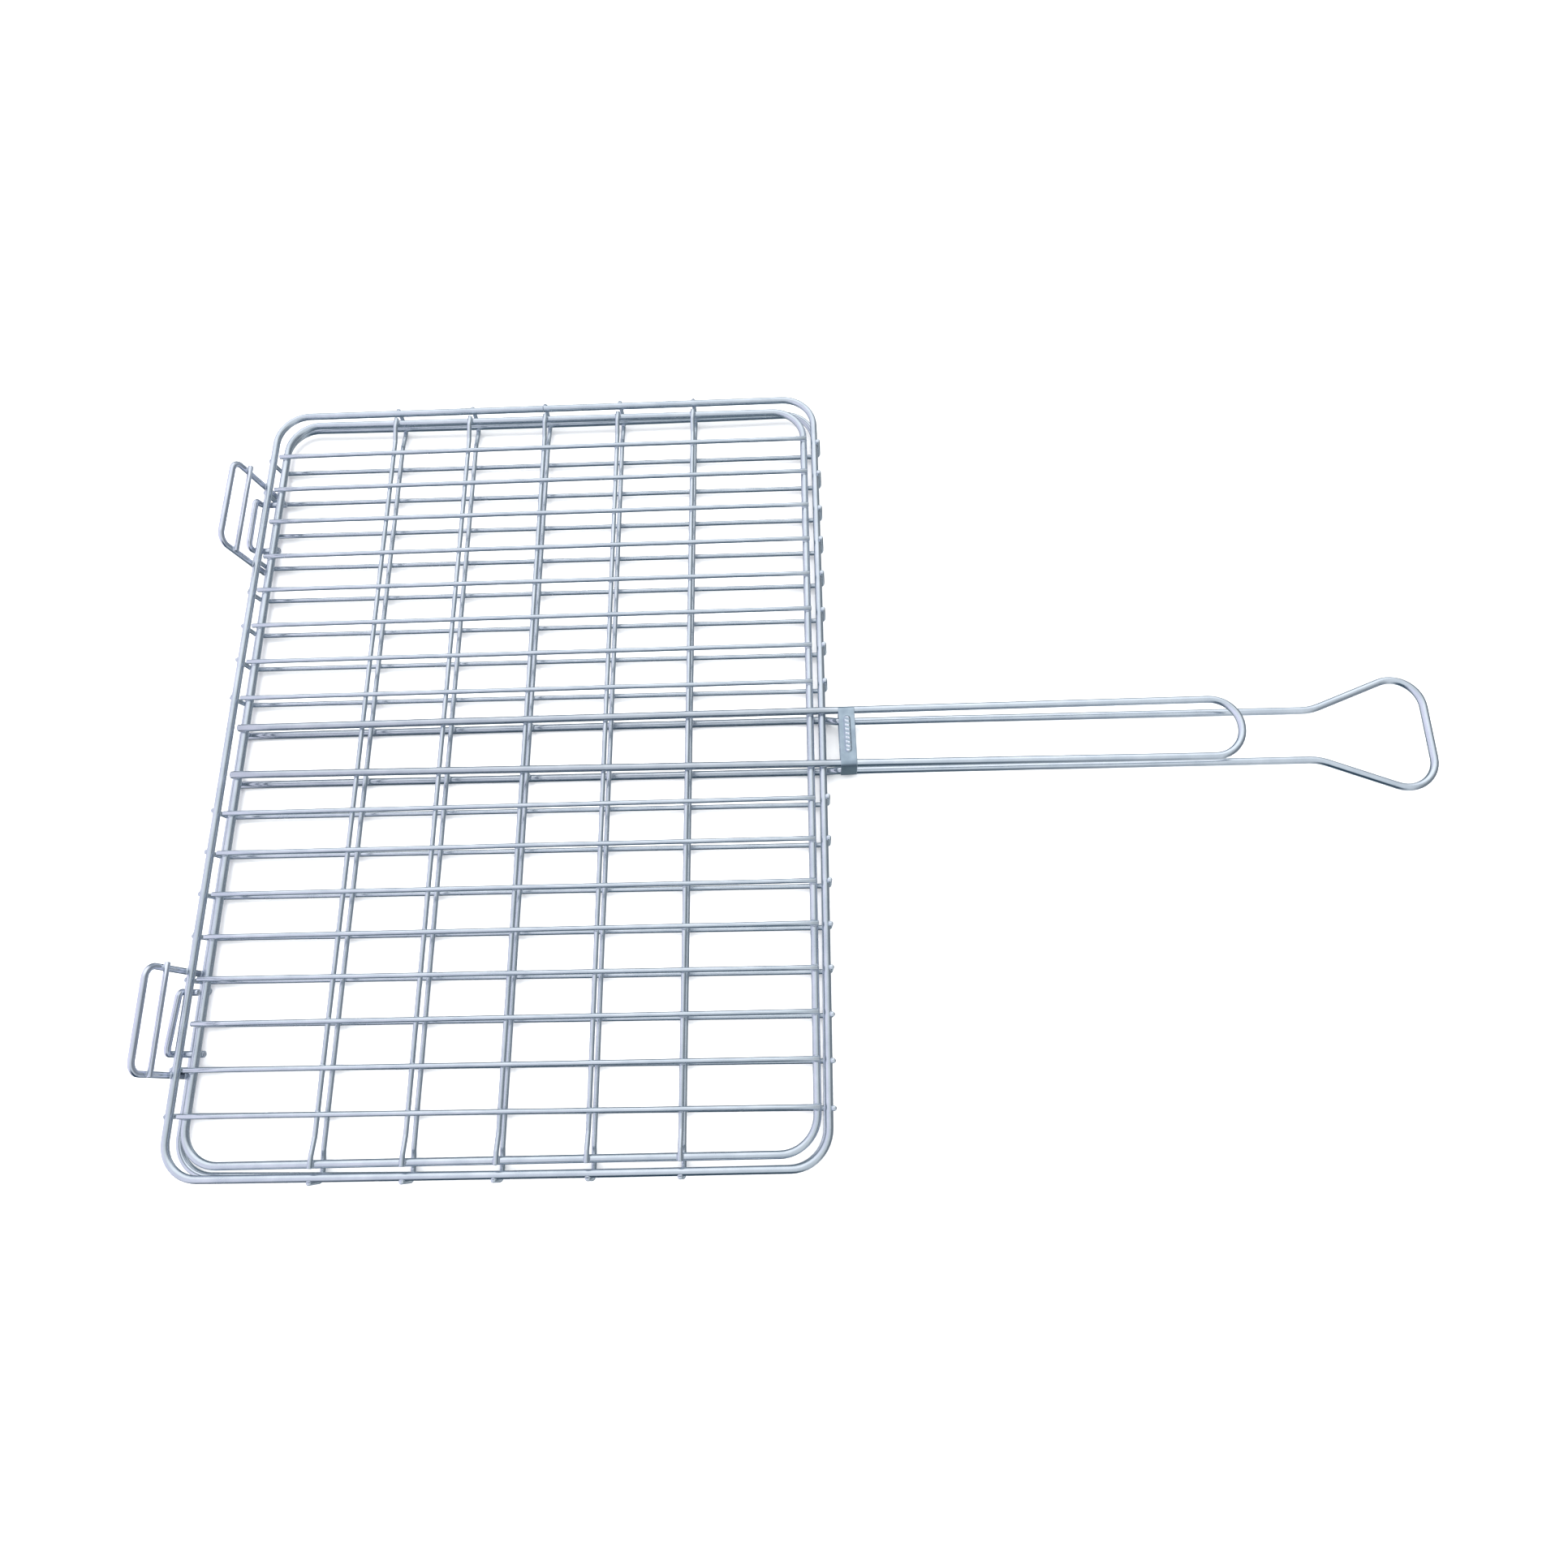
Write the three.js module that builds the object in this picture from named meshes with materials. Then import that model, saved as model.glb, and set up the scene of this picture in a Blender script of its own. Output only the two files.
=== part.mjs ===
// Folding grill basket: a shallow wire tray and a flat wire lid that hooks onto the
// tray's back rim. Both have a long wire handle at the front, and a sheet band
// slides along the handles to hold the two grids shut.
//
// Units are millimetres, +Z is up and +X runs from the hinge side to the handle's end.
// The origin is under the middle of the whole length, on the surface the basket lies on.
import * as THREE from 'three';

// ---------------------------------------------------------------- wires
const FINE_WIRE = 3.2; // grid bars and cross wires
const RIM_WIRE = 4.5;
const HANDLE_WIRE = 5.0;
const HINGE_WIRE = 3.8; // hinge loops and lid hooks
const CROSSBAR_WIRE = 3.2;
const GAP = 0.3; // between wires that touch and are welded on the real basket

// ---------------------------------------------------------------- grids
const BAR_PITCH = 25;
const BARS_PER_SIDE = 8; // on each side of the two handle wires
const FIRST_BAR_Y = 1.5 * BAR_PITCH;
const CROSS_PITCH = 50.5;
const CROSS_STEPS = [-2, -1, 0, 1, 2];
const CORNER_RADIUS = 21;

const LID_HALF_X = 176.4; // centreline of the lid's rim
const LID_HALF_Y = 238.4;
const LID_WIRE_OVERHANG = 2.2; // fine wires end this far outside the lid rim's centreline

const TRAY_HALF_X = 184.5; // centreline of the tray's upper rim
const TRAY_HALF_Y = 246.8;
const TRAY_SHIFT_X = -1.2; // the lid sits a little nearer to the tray's front than to its back
const LOWER_RIM_INSET = 1; // the tray's sides lean out by this much between its two rims
const RIM_SPACING_Z = 12;
const RISER_ABOVE_RIM = 3; // a bent-up wire end stands this far above the upper rim's centre
const RISER_BEND = 3.6;
const DIP_LENGTH = 10; // length over which a cross wire steps from one layer to the next
const DIP_BEND = 6;

// ---------------------------------------------------------------- handles
const HANDLE_HALF_Y = 16.8;
const LID_HANDLE_END_X = 435.5;
const TRAY_HANDLE_END_X = 552.6;
const JOGGLE_START_X = 185;
const JOGGLE_END_X = 193.5;
const JOGGLE_RISE = 7; // the tray's handle steps up outside the rim, so the band clears the floor
const JOGGLE_BEND = 8;
const FLARE_START_X = 484;
const FLARE_HALF_Y = 42.9; // where the flared sides would meet the end if it had sharp corners
const FLARE_BEND = 30;
const FLARE_CORNER = 18;

// ---------------------------------------------------------------- hinge
const HINGE_Y = 6.5 * BAR_PITCH; // middle of each hinge loop and of each hook
const LOOP_HALF_Y = 29.2;
const LOOP_HEIGHT = 30.8; // top of the loop above the upper rim
const LOOP_CORNER = 7;
const CROSSBAR_HEIGHT = 19; // middle of the crossbar above the upper rim
const CROSSBAR_OVERHANG = 3; // past the middle of each leg
const HOOK_HALF_Y = 17.5;
const HOOK_REACH = 5.5; // from the upper rim's centre out to the hook's end bar
const HOOK_RISE = 2.5; // from the upper rim's centre up to the hook's end bar
const HOOK_CORNER = 3.4;
const HOOK_FOOT_INBOARD = 2.6; // the hook's feet end this far inside the lid rim's centreline

// ---------------------------------------------------------------- band
const BAND_X = 199.5;
const BAND_WIDTH = 9.8;
const BAND_SHEET = 1;
const BAND_CORNER = 2.2; // inside

// ---------------------------------------------------------------- heights of the layers
const touching = (first, second) => (first + second) / 2 + GAP;
const Z_TRAY_HANDLE = HANDLE_WIRE / 2;
const Z_LOWER_RIM = Z_TRAY_HANDLE + touching(HANDLE_WIRE, RIM_WIRE);
const Z_TRAY_BARS = Z_LOWER_RIM - touching(RIM_WIRE, FINE_WIRE);
const Z_TRAY_CROSS = Z_TRAY_BARS + touching(FINE_WIRE, FINE_WIRE);
const Z_UPPER_RIM = Z_LOWER_RIM + RIM_SPACING_Z;
const Z_LID_BARS = Z_UPPER_RIM + touching(RIM_WIRE, FINE_WIRE);
const Z_LID_CROSS = Z_LID_BARS - touching(FINE_WIRE, FINE_WIRE);
const Z_LID_HANDLE = Z_UPPER_RIM + touching(RIM_WIRE, HANDLE_WIRE);
const Z_TRAY_GRIP = Z_TRAY_HANDLE + JOGGLE_RISE;
const Z_HOOK_LEG = Z_UPPER_RIM - touching(RIM_WIRE, HINGE_WIRE);
const Z_RISER_END = Z_UPPER_RIM + RISER_ABOVE_RIM;

// How far from the tray's middle a wire stands at height z when it leans on the outside
// of both rims. half is the upper rim's centreline on that side.
const SIDE_LEAN = LOWER_RIM_INSET / RIM_SPACING_Z;
function outsideRims(half, z, diameter) {
  const clearance = touching(RIM_WIRE, diameter) * Math.hypot(1, SIDE_LEAN);
  return half + (z - Z_UPPER_RIM) * SIDE_LEAN + clearance;
}
const behindRims = (z, diameter) => TRAY_SHIFT_X - outsideRims(TRAY_HALF_X, z, diameter);

const BACK_RIM_X = TRAY_SHIFT_X - TRAY_HALF_X;
const Z_LOOP_TOP = Z_UPPER_RIM + LOOP_HEIGHT;
const BACK_END_X = behindRims(Z_LOOP_TOP, HINGE_WIRE) - HINGE_WIRE / 2;
const FRONT_END_X = TRAY_HANDLE_END_X + HANDLE_WIRE / 2;

const basket = new THREE.Group();
basket.position.x = -(BACK_END_X + FRONT_END_X) / 2;

// ---------------------------------------------------------------- helpers
const point = (x, y, z) => new THREE.Vector3(x, y, z);

const steel = (color, roughness) =>
  new THREE.MeshStandardMaterial({ color, roughness, metalness: 1 });

function addMesh(name, geometry, material) {
  const mesh = new THREE.Mesh(geometry, material);
  mesh.name = name;
  basket.add(mesh);
}

// A curve through given points that an extrusion samples at exactly those points.
class WirePath extends THREE.Curve {
  constructor(points) {
    super();
    this.points = points;
  }

  getPointAt(u) {
    return this.points[Math.round(u * (this.points.length - 1))].clone();
  }

  getTangentAt(u) {
    const index = Math.round(u * (this.points.length - 1));
    const here = this.points[index];
    const before = this.points[index - 1];
    const after = this.points[index + 1];
    const tangent = point(0, 0, 0);
    if (before) tangent.add(here.clone().sub(before).normalize());
    if (after) tangent.add(after.clone().sub(here).normalize());
    return tangent.normalize();
  }
}

// An eight-sided section whose flats are a wire diameter apart.
function wireSection(diameter) {
  const radius = diameter / 2 / Math.cos(Math.PI / 8);
  const corners = [];
  for (let side = 0; side < 8; side += 1) {
    const angle = (side + 0.5) * Math.PI / 4;
    corners.push(new THREE.Vector2(radius * Math.cos(angle), radius * Math.sin(angle)));
  }
  return new THREE.Shape(corners);
}

// Rounds one corner of a wire: the points of the arc from the first side to the second.
function bend(before, corner, after, radius, steps) {
  const inward = corner.clone().sub(before).normalize();
  const outward = after.clone().sub(corner).normalize();
  const turn = inward.angleTo(outward);
  const start = corner.clone().addScaledVector(inward, -radius * Math.tan(turn / 2));
  const axis = inward.clone().cross(outward).normalize();
  const toCentre = axis.clone().cross(inward);
  const centre = start.clone().addScaledVector(toCentre, radius);
  const arc = [];
  for (let step = 0; step <= steps; step += 1) {
    const spoke = start.clone().sub(centre).applyAxisAngle(axis, turn * step / steps);
    arc.push(centre.clone().add(spoke));
  }
  return arc;
}

// A wire through corner points. bends holds the radius and step count of each inner corner.
function wire(diameter, corners, bends = []) {
  const points = [corners[0]];
  bends.forEach(([radius, steps], index) => {
    const arc = bend(corners[index], corners[index + 1], corners[index + 2], radius, steps);
    arc.forEach((place) => {
      if (place.distanceTo(points[points.length - 1]) > 0.01) points.push(place);
    });
  });
  points.push(corners[corners.length - 1]);
  return new THREE.ExtrudeGeometry(wireSection(diameter), {
    steps: points.length - 1,
    extrudePath: new WirePath(points),
  });
}

function roundedRectangle(target, halfX, halfY, radius) {
  target.moveTo(halfX, -halfY + radius);
  target.absarc(halfX - radius, halfY - radius, radius, 0, Math.PI / 2);
  target.absarc(-halfX + radius, halfY - radius, radius, Math.PI / 2, Math.PI);
  target.absarc(-halfX + radius, -halfY + radius, radius, Math.PI, 1.5 * Math.PI);
  target.absarc(halfX - radius, -halfY + radius, radius, 1.5 * Math.PI, 2 * Math.PI);
  return target;
}

// A closed wire ring with rounded corners: a flat frame whose bevels make it eight-sided.
function rim(halfX, halfY, z) {
  const flat = RIM_WIRE * Math.tan(Math.PI / 8);
  const bevel = (RIM_WIRE - flat) / 2;
  const frame = roundedRectangle(
    new THREE.Shape(), halfX + flat / 2, halfY + flat / 2, CORNER_RADIUS + flat / 2,
  );
  frame.holes.push(roundedRectangle(
    new THREE.Path(), halfX - flat / 2, halfY - flat / 2, CORNER_RADIUS - flat / 2,
  ));
  const ring = new THREE.ExtrudeGeometry(frame, {
    depth: flat,
    curveSegments: 3,
    bevelSize: bevel,
    bevelThickness: bevel,
    bevelSegments: 1,
  });
  return ring.translate(0, 0, z - flat / 2);
}

const oneSide = Array.from({ length: BARS_PER_SIDE }, (_, index) => FIRST_BAR_Y + index * BAR_PITCH);
const barPlaces = [...oneSide.toReversed(), ...oneSide.map((y) => -y)];
const numbered = (stem, index) => `${stem}_${String(index + 1).padStart(2, '0')}`;

// ---------------------------------------------------------------- tray
const traySteel = steel(0xc4cedd, 0.3);

function addTrayRims() {
  const upper = rim(TRAY_HALF_X, TRAY_HALF_Y, Z_UPPER_RIM).translate(TRAY_SHIFT_X, 0, 0);
  const lower = rim(TRAY_HALF_X - LOWER_RIM_INSET, TRAY_HALF_Y - LOWER_RIM_INSET, Z_LOWER_RIM)
    .translate(TRAY_SHIFT_X, 0, 0);
  addMesh('tray_upper_rim', upper, traySteel.clone());
  addMesh('tray_lower_rim', lower, traySteel.clone());
}

// Tray bars run under the lower rim and turn up outside both rims. The bar in the
// middle of each hook stops under the back rim, so the hook can swing there.
function addTrayBars() {
  const lowX = outsideRims(TRAY_HALF_X, Z_TRAY_BARS, FINE_WIRE);
  const highX = outsideRims(TRAY_HALF_X, Z_RISER_END, FINE_WIRE);
  barPlaces.forEach((y, index) => {
    const corners = [
      point(TRAY_SHIFT_X + lowX, y, Z_TRAY_BARS),
      point(TRAY_SHIFT_X + highX, y, Z_RISER_END),
    ];
    const bends = [[RISER_BEND, 4]];
    if (Math.abs(y) === HINGE_Y) {
      corners.unshift(point(BACK_RIM_X, y, Z_TRAY_BARS));
    } else {
      corners.unshift(
        point(TRAY_SHIFT_X - highX, y, Z_RISER_END),
        point(TRAY_SHIFT_X - lowX, y, Z_TRAY_BARS),
      );
      bends.unshift([RISER_BEND, 4]);
    }
    addMesh(numbered('tray_bar', index), wire(FINE_WIRE, corners, bends), traySteel.clone());
  });
}

// Tray cross wires lie on the bars, step down under the lower rim and turn up outside both rims.
function addTrayCrossWires() {
  const dipY = TRAY_HALF_Y - LOWER_RIM_INSET - RIM_WIRE;
  CROSS_STEPS.forEach((step, index) => {
    const x = step * CROSS_PITCH;
    const half = [
      point(x, outsideRims(TRAY_HALF_Y, Z_RISER_END, FINE_WIRE), Z_RISER_END),
      point(x, outsideRims(TRAY_HALF_Y, Z_TRAY_BARS, FINE_WIRE), Z_TRAY_BARS),
      point(x, dipY, Z_TRAY_BARS),
      point(x, dipY - DIP_LENGTH, Z_TRAY_CROSS),
    ];
    const mirrored = half.map((place) => place.clone().setY(-place.y)).reverse();
    const halfBends = [[RISER_BEND, 4], [DIP_BEND, 2], [DIP_BEND, 2]];
    const bends = [...halfBends, ...[...halfBends].reverse()];
    const geometry = wire(FINE_WIRE, [...half, ...mirrored], bends);
    addMesh(numbered('tray_cross_wire', index), geometry, traySteel.clone());
  });
}

// One wire: under the tray, up a small step outside the rim, along to a flared end and back.
function addTrayHandle() {
  const startX = BACK_RIM_X + LOWER_RIM_INSET - RIM_WIRE / 2;
  const half = [
    point(startX, HANDLE_HALF_Y, Z_TRAY_HANDLE),
    point(JOGGLE_START_X, HANDLE_HALF_Y, Z_TRAY_HANDLE),
    point(JOGGLE_END_X, HANDLE_HALF_Y, Z_TRAY_GRIP),
    point(FLARE_START_X, HANDLE_HALF_Y, Z_TRAY_GRIP),
    point(TRAY_HANDLE_END_X, FLARE_HALF_Y, Z_TRAY_GRIP),
  ];
  const mirrored = half.map((place) => place.clone().setY(-place.y)).reverse();
  const halfBends = [[JOGGLE_BEND, 2], [JOGGLE_BEND, 2], [FLARE_BEND, 3], [FLARE_CORNER, 7]];
  const bends = [...halfBends, ...[...halfBends].reverse()];
  const geometry = wire(HANDLE_WIRE, [...half, ...mirrored], bends);
  addMesh('tray_handle', geometry, steel(0xd0d9e6, 0.24));
}

// Upright loops outside the back rims, each with a straight crossbar on its inner side.
function addHingeLoops() {
  const footZ = Z_LOWER_RIM - RIM_WIRE / 4;
  const footX = behindRims(footZ, HINGE_WIRE);
  const topX = behindRims(Z_LOOP_TOP, HINGE_WIRE);
  const barZ = Z_UPPER_RIM + CROSSBAR_HEIGHT;
  const toLegs = touching(HINGE_WIRE, CROSSBAR_WIRE) * Math.hypot(1, SIDE_LEAN);
  const barX = behindRims(barZ, HINGE_WIRE) + toLegs;
  [['far', 1], ['near', -1]].forEach(([side, sign]) => {
    const firstY = sign * HINGE_Y + LOOP_HALF_Y;
    const lastY = sign * HINGE_Y - LOOP_HALF_Y;
    const loop = wire(HINGE_WIRE, [
      point(footX, firstY, footZ),
      point(topX, firstY, Z_LOOP_TOP),
      point(topX, lastY, Z_LOOP_TOP),
      point(footX, lastY, footZ),
    ], [[LOOP_CORNER, 5], [LOOP_CORNER, 5]]);
    const crossbar = wire(CROSSBAR_WIRE, [
      point(barX, firstY + CROSSBAR_OVERHANG, barZ),
      point(barX, lastY - CROSSBAR_OVERHANG, barZ),
    ]);
    addMesh(`hinge_loop_${side}`, loop, traySteel.clone());
    addMesh(`loop_crossbar_${side}`, crossbar, steel(0xccd4e2, 0.28));
  });
}

// ---------------------------------------------------------------- lid
const lidSteel = steel(0xc9d2e0, 0.28);

function addLidRim() {
  addMesh('lid_rim', rim(LID_HALF_X, LID_HALF_Y, Z_UPPER_RIM), lidSteel.clone());
}

function addLidBars() {
  const endX = LID_HALF_X + LID_WIRE_OVERHANG;
  barPlaces.forEach((y, index) => {
    const corners = [point(-endX, y, Z_LID_BARS), point(endX, y, Z_LID_BARS)];
    addMesh(numbered('lid_bar', index), wire(FINE_WIRE, corners), lidSteel.clone());
  });
}

// Lid cross wires lie under the bars and step up over the rim at both ends.
function addLidCrossWires() {
  const endY = LID_HALF_Y + LID_WIRE_OVERHANG;
  const highY = LID_HALF_Y - RIM_WIRE;
  const lowY = highY - DIP_LENGTH;
  CROSS_STEPS.forEach((step, index) => {
    const x = step * CROSS_PITCH;
    const half = [
      point(x, endY, Z_LID_BARS),
      point(x, highY, Z_LID_BARS),
      point(x, lowY, Z_LID_CROSS),
    ];
    const mirrored = half.map((place) => place.clone().setY(-place.y)).reverse();
    const bends = Array.from({ length: 4 }, () => [DIP_BEND, 2]);
    const geometry = wire(FINE_WIRE, [...half, ...mirrored], bends);
    addMesh(numbered('lid_cross_wire', index), geometry, lidSteel.clone());
  });
}

function addLidHandle() {
  const startX = -LID_HALF_X - LID_WIRE_OVERHANG;
  const geometry = wire(HANDLE_WIRE, [
    point(startX, HANDLE_HALF_Y, Z_LID_HANDLE),
    point(LID_HANDLE_END_X, HANDLE_HALF_Y, Z_LID_HANDLE),
    point(LID_HANDLE_END_X, -HANDLE_HALF_Y, Z_LID_HANDLE),
    point(startX, -HANDLE_HALF_Y, Z_LID_HANDLE),
  ], [[HANDLE_HALF_Y, 8], [HANDLE_HALF_Y, 8]]);
  addMesh('lid_handle', geometry, steel(0xd3dbe8, 0.22));
}

// Hooks: from under the lid's rim, under the tray's back rim and up outside it.
function addHooks() {
  const footX = -LID_HALF_X + HOOK_FOOT_INBOARD;
  const endX = BACK_RIM_X - HOOK_REACH;
  const endZ = Z_UPPER_RIM + HOOK_RISE;
  [['far', 1], ['near', -1]].forEach(([side, sign]) => {
    const firstY = sign * HINGE_Y + HOOK_HALF_Y;
    const lastY = sign * HINGE_Y - HOOK_HALF_Y;
    const geometry = wire(HINGE_WIRE, [
      point(footX, firstY, Z_HOOK_LEG),
      point(endX, firstY, Z_HOOK_LEG),
      point(endX, firstY, endZ),
      point(endX, lastY, endZ),
      point(endX, lastY, Z_HOOK_LEG),
      point(footX, lastY, Z_HOOK_LEG),
    ], [[HOOK_CORNER, 4], [HOOK_CORNER, 4], [HOOK_CORNER, 4], [HOOK_CORNER, 4]]);
    addMesh(`lid_hook_${side}`, geometry, lidSteel.clone());
  });
}

// ---------------------------------------------------------------- band
// A sheet ring around all four handle wires.
function addBand() {
  const innerHalfY = HANDLE_HALF_Y + HANDLE_WIRE / 2 + GAP;
  const innerHalfZ = (Z_LID_HANDLE - Z_TRAY_GRIP + HANDLE_WIRE) / 2 + GAP;
  const outline = roundedRectangle(
    new THREE.Shape(), innerHalfY + BAND_SHEET, innerHalfZ + BAND_SHEET, BAND_CORNER + BAND_SHEET,
  );
  outline.holes.push(roundedRectangle(new THREE.Path(), innerHalfY, innerHalfZ, BAND_CORNER));
  const ring = new THREE.ExtrudeGeometry(outline, {
    depth: BAND_WIDTH,
    curveSegments: 3,
    bevelEnabled: false,
  });
  const alongHandle = new THREE.Matrix4().makeBasis(point(0, 1, 0), point(0, 0, 1), point(1, 0, 0));
  ring.translate(0, 0, -BAND_WIDTH / 2).applyMatrix4(alongHandle);
  ring.translate(BAND_X, 0, (Z_LID_HANDLE + Z_TRAY_GRIP) / 2);
  addMesh('sliding_band', ring, steel(0xb9c9dc, 0.34));
}

addTrayRims();
addTrayBars();
addTrayCrossWires();
addTrayHandle();
addHingeLoops();
addLidRim();
addLidBars();
addLidCrossWires();
addLidHandle();
addHooks();
addBand();

export default basket;
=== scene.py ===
# Wire grill basket: every wire of the CAD frame is rebuilt here as a smooth round wire with
# cut ends, set a little into its neighbours and joined to them by small spot welds. The
# sheet band is rebuilt with its raised strip. Units are metres, in the frame of the CAD.
import math
import random

import bpy
from mathutils import Matrix, Vector


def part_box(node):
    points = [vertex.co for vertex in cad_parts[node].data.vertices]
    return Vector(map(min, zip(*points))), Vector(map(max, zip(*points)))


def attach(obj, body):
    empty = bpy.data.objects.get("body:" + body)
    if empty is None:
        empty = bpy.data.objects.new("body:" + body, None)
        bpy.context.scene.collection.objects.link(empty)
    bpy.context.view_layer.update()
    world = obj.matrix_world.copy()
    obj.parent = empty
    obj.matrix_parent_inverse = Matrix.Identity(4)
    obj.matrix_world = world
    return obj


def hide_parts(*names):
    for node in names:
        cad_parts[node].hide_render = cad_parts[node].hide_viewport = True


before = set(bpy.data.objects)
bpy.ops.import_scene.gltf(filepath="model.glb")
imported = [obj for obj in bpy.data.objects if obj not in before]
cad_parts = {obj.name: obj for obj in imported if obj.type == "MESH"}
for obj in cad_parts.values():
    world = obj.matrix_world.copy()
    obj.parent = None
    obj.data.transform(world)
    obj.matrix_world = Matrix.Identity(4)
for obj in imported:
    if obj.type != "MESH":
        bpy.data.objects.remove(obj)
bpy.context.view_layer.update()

MM = 0.001

# ---------------------------------------------------------------- camera
CAMERA_PLACE = Vector((0.0, -0.2136, 0.6180))
CAMERA_TILT = math.radians(17.32)  # from straight down, towards the far side
CAMERA_LEAN = math.radians(1.81)  # towards the handle's end
CAMERA_ROLL = math.radians(-1.28)
CAMERA_LENS = 23.885  # mm, on a 36 mm sensor

# ---------------------------------------------------------------- wires and welds
SLIMMER = 0.91  # fine wires and handles against the CAD frame's
HINGE = 1.9 * MM  # radius of the hinge loops and hooks
SINK = 0.8 * MM  # a spot weld sinks two wires this far into each other
RISER_SINK = 1.2 * MM  # the upright wire ends are pressed deeper into the rims
RISER_TIPS = {"front": 3.0 * MM, "back": 0.6 * MM, "far": 0.8 * MM, "near": 1.5 * MM}
RISER_BEND = 3.6 * MM
LID_OVERHANG = 2.2 * MM  # the lid's fine wires end this far outside its rim's centreline
LID_BACK_OVERHANG = 4.0 * MM
LID_BAR_SPREAD = 1.3 * MM
LID_BAR_SLANT = 0.7 * MM  # the front ends are further to the far side than the back ends
TRAY_BAR_SHIFT = 2.2 * MM
TRAY_BAR_CROWDING = 3.9 * MM
LID_CROSS_SHIFTS = (-0.7, -0.3, 0.9, 0.1, 0.7)  # mm, from back to front
TRAY_CROSS_SHIFTS = (-1.2, -0.2, -0.3, 0.8, 0.6)
DIP_LENGTH = 10 * MM
DIP_BEND = 6 * MM
WIRE_SIDES = 20
BEND_STEP = math.radians(9)  # one ring of the wire's mesh at least every so many degrees
WANDER = 0.05 * MM  # a drawn wire isn't quite straight
WANDER_STEP = 24 * MM
KINK_CUT = 0.12  # share of a stretch that is cut off at a kink
END_CHAMFER = 0.3 * MM
WELD_ROWS = 6
WELD_COLUMNS = 12
WELD_HEIGHT = 0.55  # of its reach
WELD_UNEVEN = 0.12

# How far a wire, at most, lies off the place that it was meant for.
LID_BAR_SLACK = 0.3 * MM
LID_END_SLACK = 0.6 * MM
LID_SLANT_SLACK = 0.3 * MM
TRAY_BAR_SLACK = 0.35 * MM
BAR_TIP_SLACK = 0.7 * MM
BAR_LEAN_SLACK = 0.8 * MM
CROSS_TIP_SLACK = 0.5 * MM

# How many mm each side of a rim bows outward at its start, middle and end. The front and
# back run from the near corner to the far one, the near and far sides from back to front.
RIM_BOWS = {
    "tray_upper_rim": {
        "front": (-0.6, 0.9, -0.2), "back": (0.6, 0.3, -1.4),
        "far": (-0.5, -0.5, 0.0), "near": (0.6, -0.3, -1.8),
    },
    "tray_lower_rim": {
        "front": (-0.8, 2.0, 1.0), "back": (0.5, -0.5, -1.8),
        "far": (-1.8, -3.2, -1.9), "near": (0.3, 1.3, -0.5),
    },
    "lid_rim": {
        "front": (0.1, 0.5, -0.2), "back": (-0.2, -0.3, -0.9),
        "far": (0.4, -0.8, -1.3), "near": (2.2, 0.6, -0.9),
    },
}
BOW_STEPS = 12
RIM_CORNER = 21 * MM
CORNER_STEPS = 12

# ---------------------------------------------------------------- handles and hinge
LID_HANDLE_BACK_Y = (16.2 * MM, -14.4 * MM)  # its two wires spread and lean a little
LID_HANDLE_END_Y = (19.6 * MM, -16.7 * MM)
TRAY_HANDLE_BACK_Y = (18.5 * MM, -14.3 * MM)
TRAY_HANDLE_FRONT_Y = (19.8 * MM, -14.3 * MM)
TRAY_GRIP_HALF_Y = 16.0 * MM
JOGGLE_AFTER_RIM = 1.7 * MM
JOGGLE_LENGTH = 8.5 * MM
JOGGLE_RISE = 7 * MM
JOGGLE_BEND = 8 * MM
FLARE_LENGTH = 68.6 * MM
FLARE_HALF_Y = 42.9 * MM  # where the flared sides would meet the end if it had sharp corners
FLARE_BEND = 30 * MM
FLARE_CORNER = 18 * MM
LOOP_CORNER = 7 * MM
LOOP_FOOT_CUT = 0.3 * MM  # the loops' legs end this far above the CAD legs' ends
HOOK_CORNER = 3.4 * MM
NEAR_HOOK_SKEW = 1.0 * MM  # the near hook was welded on a little crooked
NEAR_HOOK_SHORT_LEG = 9 * MM
CROSSBAR_NEAR_SHORT = 1.3 * MM

# ---------------------------------------------------------------- band
BAND_YAW = math.radians(1.4)  # it hangs a little crooked on the handles
BAND_SHEET = 0.5 * MM
BAND_CLEARANCE = 0.1 * MM
BAND_CORNER = 2.8 * MM  # middle of the sheet
BAND_CORNER_STEPS = 8
FINE_STEP = 0.35 * MM  # of its mesh, on the face with the strip
LONG_STEP = 4 * MM
FACE_STEPS = 34  # across the face
BAND_TOP_SPREAD = 0.033  # the lid's handle wires are further apart than the tray's
BAND_TOP_SHIFT = 1.15 * MM
BAND_EDGE = 0.2 * MM
BAND_SEAM = 0.5 * MM
STRIP_LENGTH = 24 * MM
STRIP_WIDTH = 4.2 * MM
STRIP_SHIFT_Y = 2 * MM
STRIP_HEIGHT = 0.45 * MM
STRIP_EDGE = 0.5 * MM
RIB_PITCH = 2.7 * MM
RIB_HEIGHT = 0.45 * MM
RIB_SLANT = 0.35
# Strip faces that stand higher than this get the brighter crest sheet: partly rubbed plating,
# partly a painted highlight.
WEAR_AND_HIGHLIGHT_LIFT = 0.55 * MM  # whatever stands higher than this on the strip is bright

# ---------------------------------------------------------------- light, as linear colours
LOW_LIGHT = (0.19, 0.24, 0.27)
SIDE_LIGHT = (0.53, 0.60, 0.65)
TOP_LIGHT = (0.82, 0.87, 0.90)
BACKDROP = (0.76, 0.79, 0.86)
OVERHEAD_POWER = 152  # watts
OVERHEAD_PLACE = (0, 0.2, 2.6)
OVERHEAD_SIZE = 3.2

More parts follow.
